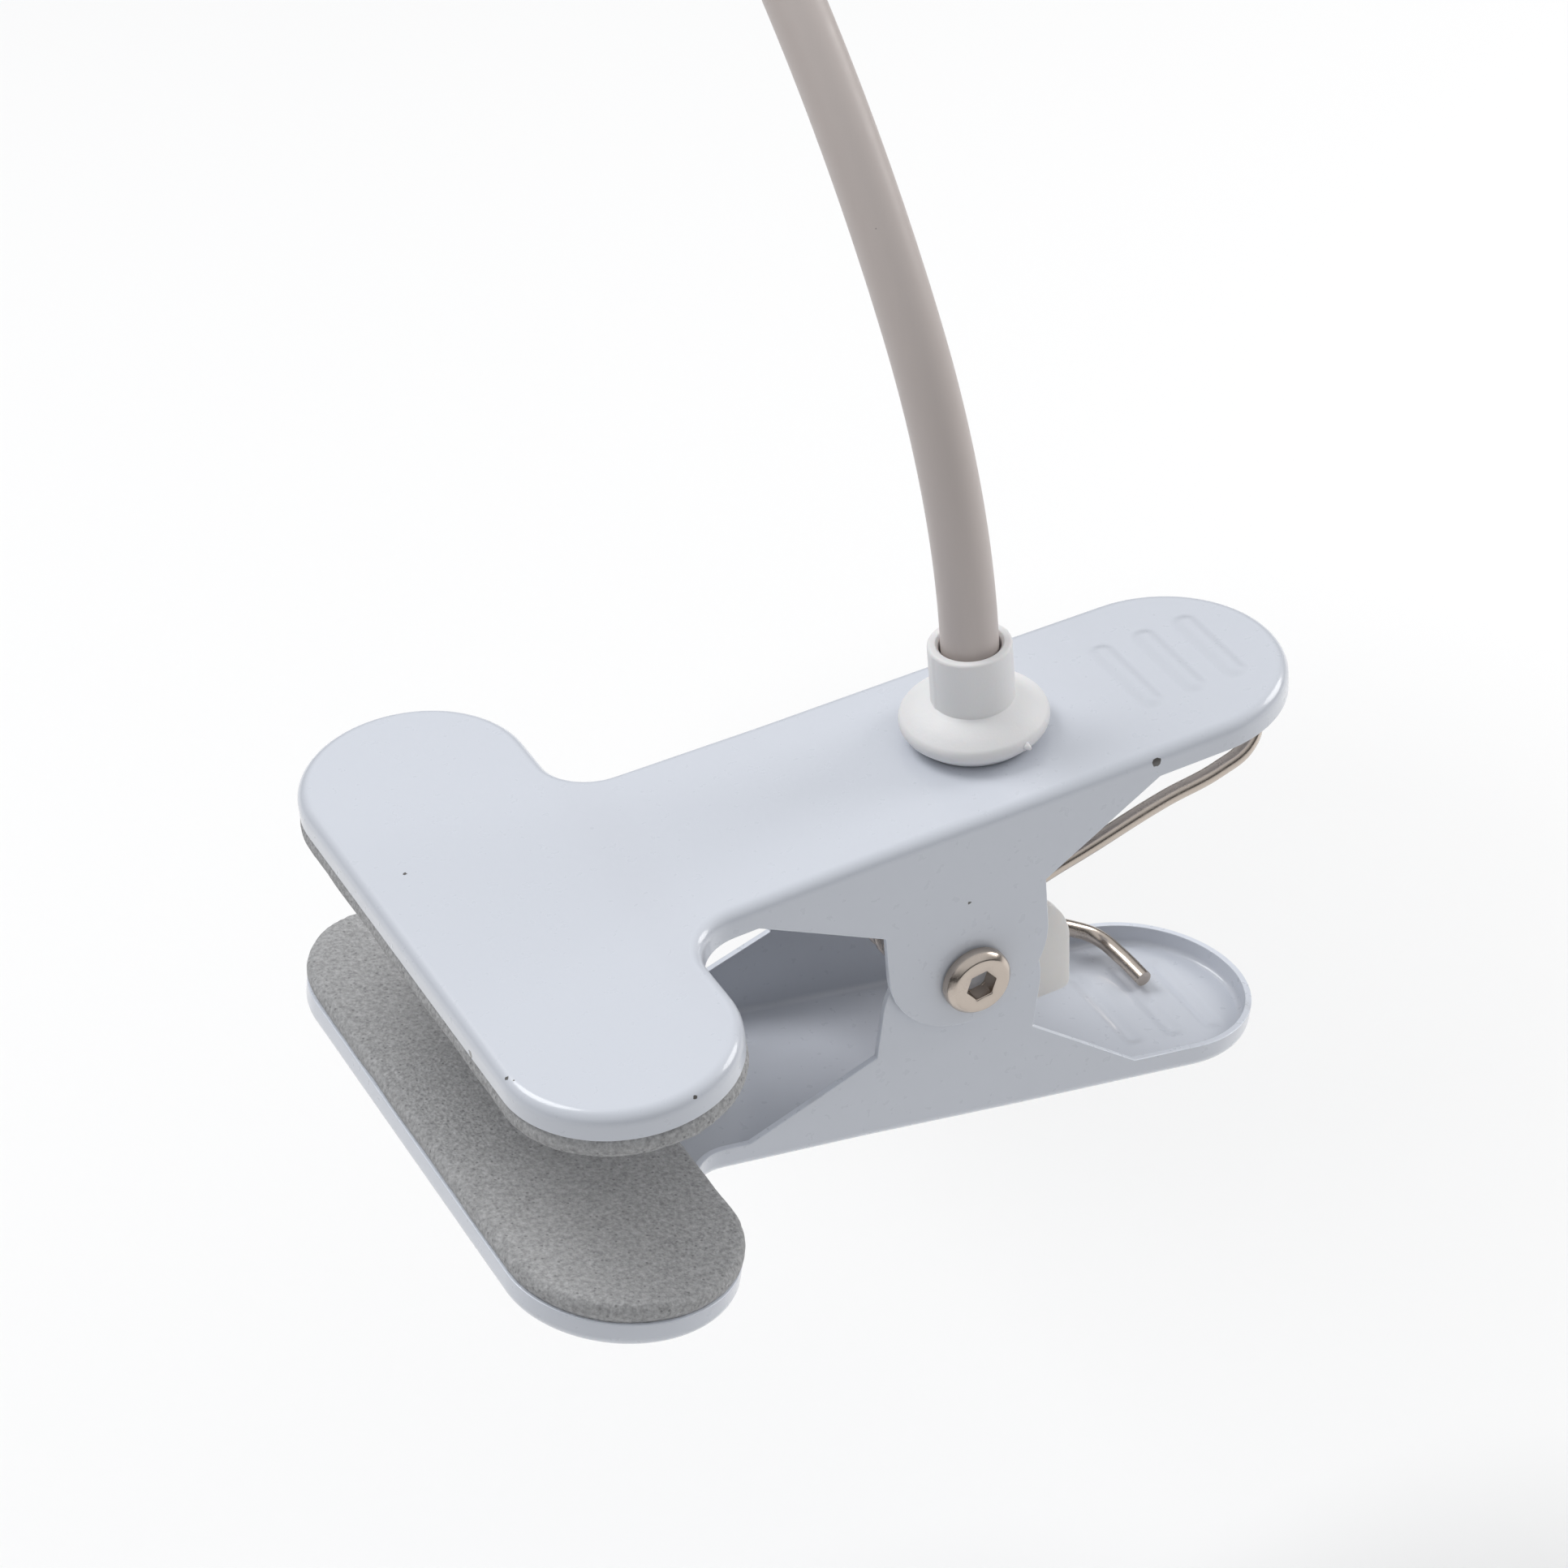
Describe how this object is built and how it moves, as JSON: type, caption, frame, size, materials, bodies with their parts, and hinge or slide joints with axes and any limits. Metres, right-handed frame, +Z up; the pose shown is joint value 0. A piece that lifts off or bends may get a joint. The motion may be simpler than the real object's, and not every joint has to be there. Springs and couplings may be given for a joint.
{
  "type": "clip on reading lamp",
  "caption": "Reading lamp with a two-lever spring clip with T-shaped padded jaws, a bendable neck and a small rechargeable LED spot head with a push button.",
  "frame": {"origin": "centre of the upper jaw pad's gripping face", "axes": "+X from the jaw towards the handles, +Y along the clip's pivot, +Z up from the pad's face through the upper lever"},
  "size_m": [0.1231, 0.2753, 0.1709],
  "materials": {
    "enamel": "gloss enamel, pale blue grey",
    "foam": "fine closed-cell foam",
    "nickel": "bright nickel plate",
    "nylon": "natural nylon, satin",
    "white_plastic": "satin white",
    "neck_sleeve": "satin warm grey",
    "aluminium": "turned",
    "lens": "frosted",
    "circuit_board": "solder mask",
    "black_plastic": "moulded",
    "phosphor": "cast phosphor",
    "mirror_coating": "vacuum metallised",
    "cell_wrap": "shrink wrap"
  },
  "bodies": {
    "upper_clip": {"upper_lever": "enamel", "upper_pad": "foam", "pivot_screw": "nickel", "pivot_nut": "nickel", "pivot_spacer_near": "nylon", "pivot_spacer_far": "nylon", "torsion_spring": "nickel", "neck_collar": "white_plastic", "collar_washer": "nickel", "collar_nut": "nickel", "neck_root": "neck_sleeve"},
    "lower_clip": {"lower_lever": "enamel", "lower_pad": "foam", "spring_spool": "nylon"},
    "neck_1": {"neck_link_01": "neck_sleeve"},
    "neck_2": {"neck_link_02": "neck_sleeve"},
    "neck_3": {"neck_link_03": "neck_sleeve"},
    "neck_4": {"neck_link_04": "neck_sleeve"},
    "neck_5": {"neck_link_05": "neck_sleeve"},
    "neck_6": {"neck_link_06": "neck_sleeve"},
    "neck_7": {"neck_link_07": "neck_sleeve"},
    "neck_8": {"neck_link_08": "neck_sleeve"},
    "neck_9": {"neck_link_09": "neck_sleeve"},
    "lamp_head": {"neck_link_10": "neck_sleeve", "head_ferrule": "nickel", "head_nut": "nickel", "head_shell": "enamel", "tact_switch": "black_plastic", "charging_inlet": "nickel", "control_board": "circuit_board", "board_screw_1": "nickel", "board_screw_2": "nickel", "battery_pad": "foam", "battery": "cell_wrap", "heat_spreader": "aluminium", "led_board": "white_plastic", "led_board_screw_1": "nickel", "led_board_screw_2": "nickel", "led_chip": "phosphor", "reflector": "mirror_coating", "lens_gasket": "black_plastic", "head_lens": "lens", "head_bezel": "enamel"},
    "power_button": {"push_button": "white_plastic"}
  },
  "joints": [
    {"name": "clip_hinge", "type": "hinge", "parent": "upper_clip", "child": "lower_clip", "pos_m": [0.05255, 0, -0.0169], "axis": [0, 1, 0], "range_deg": [-30, 16.5], "stiffness_Nm_per_rad": 1.05, "springref_deg": 54.72, "deforming": ["torsion_spring"]},
    {"name": "neck_bend_1", "type": "hinge", "parent": "upper_clip", "child": "neck_1", "pos_m": [0.06302, 0.00091, 0.03316], "axis": [-0.9997, 0.0244, 0], "range_deg": [-20, 14]},
    {"name": "neck_side_1", "type": "hinge", "parent": "neck_1", "child": "neck_2", "pos_m": [0.0632, 0.00808, 0.0543], "axis": [0.0216, 0.882, -0.4708], "range_deg": [-15, 15]},
    {"name": "neck_bend_2", "type": "hinge", "parent": "neck_2", "child": "neck_3", "pos_m": [0.06351, 0.02073, 0.07277], "axis": [-0.9997, 0.0244, 0], "range_deg": [-20, 14]},
    {"name": "neck_side_2", "type": "hinge", "parent": "neck_3", "child": "neck_4", "pos_m": [0.06388, 0.0362, 0.08897], "axis": [0.0163, 0.6663, -0.7455], "range_deg": [-15, 15]},
    {"name": "neck_bend_3", "type": "hinge", "parent": "neck_4", "child": "neck_5", "pos_m": [0.06432, 0.05412, 0.10237], "axis": [-0.9997, 0.0244, 0], "range_deg": [-20, 14]},
    {"name": "neck_side_3", "type": "hinge", "parent": "neck_5", "child": "neck_6", "pos_m": [0.06482, 0.0744, 0.11184], "axis": [0.008, 0.3259, -0.9454], "range_deg": [-15, 15]},
    {"name": "neck_bend_4", "type": "hinge", "parent": "neck_6", "child": "neck_7", "pos_m": [0.06535, 0.09619, 0.11688], "axis": [-0.9997, 0.0244, 0], "range_deg": [-20, 14]},
    {"name": "neck_side_4", "type": "hinge", "parent": "neck_7", "child": "neck_8", "pos_m": [0.0659, 0.11856, 0.11728], "axis": [-0.0021, -0.0869, -0.9962], "range_deg": [-15, 15]},
    {"name": "neck_bend_5", "type": "hinge", "parent": "neck_8", "child": "neck_9", "pos_m": [0.06643, 0.14053, 0.11301], "axis": [-0.9997, 0.0244, 0], "range_deg": [-20, 14]},
    {"name": "neck_side_5", "type": "hinge", "parent": "neck_9", "child": "lamp_head", "pos_m": [0.06694, 0.16112, 0.10427], "axis": [-0.0118, -0.4846, -0.8746], "range_deg": [-15, 15]},
    {"name": "button_press", "type": "slide", "parent": "lamp_head", "child": "power_button", "axis": [0.02, 0.8189, -0.5736], "range_m": [0, 0.001], "stiffness_N_per_m": 600, "springref_m": -0.0015}
  ]
}
